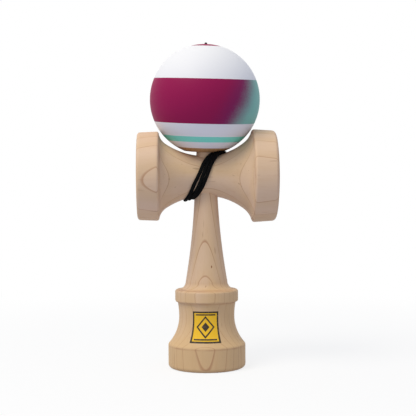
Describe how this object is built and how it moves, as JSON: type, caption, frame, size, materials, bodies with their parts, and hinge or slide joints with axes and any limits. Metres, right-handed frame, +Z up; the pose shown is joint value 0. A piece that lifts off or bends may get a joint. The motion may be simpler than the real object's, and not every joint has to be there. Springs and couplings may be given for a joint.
{
  "type": "kendama",
  "caption": "Turned wooden cup-and-ball toy standing on its base cup, with its striped ball on the spike and a black cord wound round the cross-piece.",
  "frame": {"origin": "middle of the base cup's rim, on the surface the toy stands on", "axes": "+Z up along the handle to the spike, +X along the cross-piece to the big cup, -Y to the front that the picture shows"},
  "size_m": [0.0751, 0.0619, 0.1779],
  "materials": {
    "handle_wood": "fine sanded, unpainted maple",
    "cross_piece_wood": "fine sanded, unpainted maple",
    "ball_paint": "satin paint in stripes over wood",
    "bead_wood": "plain turned wood",
    "string": "matt braid"
  },
  "bodies": {
    "ken": {"ken": "handle_wood", "sarado": "cross_piece_wood", "string_winding": "string", "string_tail": "string", "ken_knot": "string"},
    "bead": {"stop_bead": "bead_wood", "bead_knot": "string", "string_core": "string", "string_drop": "string"},
    "tama": {"tama": "ball_paint"}
  },
  "joints": [
    {"name": "tama_lift", "type": "slide", "parent": "ken", "child": "bead", "axis": [0, 0, 1], "range_m": [0, 0.05], "deforming": ["string_drop"]},
    {"name": "tama_spin", "type": "hinge", "parent": "bead", "child": "tama", "pos_m": [-0.00029, 0.00136, 0.14582], "axis": [0.0251, -0.1179, 0.9927], "continuous": true}
  ]
}
